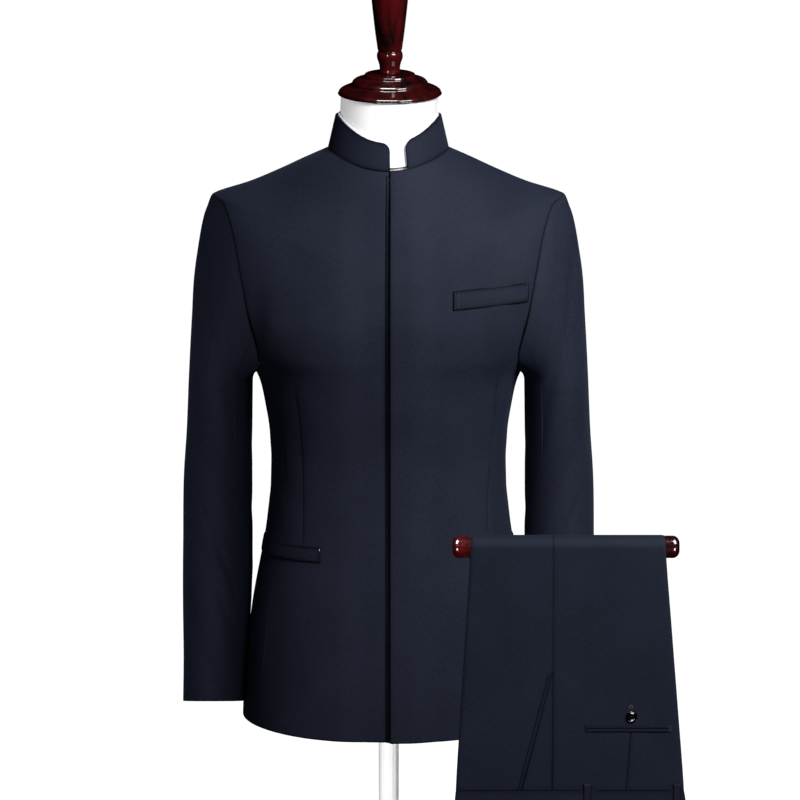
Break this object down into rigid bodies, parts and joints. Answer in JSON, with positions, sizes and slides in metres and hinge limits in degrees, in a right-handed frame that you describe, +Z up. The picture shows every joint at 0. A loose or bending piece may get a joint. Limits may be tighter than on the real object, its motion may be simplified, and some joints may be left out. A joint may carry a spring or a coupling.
{
  "type": "mao suit on a dress form with a trouser bar",
  "caption": "Navy mao suit: stand-collar jacket with a hidden closing on a limbless dress form, and its trousers folded over a short wooden bar in front.",
  "frame": {"origin": "centre of the round base's underside", "axes": "+Z up, the jacket's front faces -Y, +X is the wearer's left"},
  "size_m": [0.6137, 0.3973, 1.7117],
  "materials": {
    "navy_wool": "fine wool twill, pressed",
    "white_cloth": "plain cotton, stretched smooth",
    "red_wood": "dark red stain under gloss lacquer",
    "white_steel": "satin white paint",
    "black_horn": "polished black"
  },
  "bodies": {
    "root": {"bar_clamp": "white_steel", "bar_fork": "white_steel", "bar_riser": "white_steel", "base": "red_wood", "base_flange": "white_steel", "belt_loop_1": "navy_wool", "belt_loop_2": "navy_wool", "button_strip": "navy_wool", "chest_welt": "navy_wool", "closing_button_1": "black_horn", "closing_button_2": "black_horn", "closing_button_3": "black_horn", "closing_button_4": "black_horn", "closing_button_5": "black_horn", "collar": "navy_wool", "collar_liner": "white_cloth", "finial": "red_wood", "form_flange": "white_steel", "form_torso": "white_cloth", "hip_welt_left": "navy_wool", "hip_welt_right": "navy_wool", "jacket_back_left": "navy_wool", "jacket_back_right": "navy_wool", "jacket_front_left": "navy_wool", "jacket_front_right": "navy_wool", "jacket_side_left": "navy_wool", "jacket_side_right": "navy_wool", "neck_cap": "red_wood", "pocket_button": "black_horn", "pocket_facing": "navy_wool", "pocket_jet_lower": "navy_wool", "pocket_jet_upper": "navy_wool", "post": "white_steel", "sleeve_left_under": "navy_wool", "sleeve_left_upper": "navy_wool", "sleeve_right_under": "navy_wool", "sleeve_right_upper": "navy_wool", "trouser_back": "navy_wool", "trouser_bar": "red_wood", "trouser_front": "navy_wool", "trouser_layers": "navy_wool", "waistband": "navy_wool"}
  },
  "joints": []
}
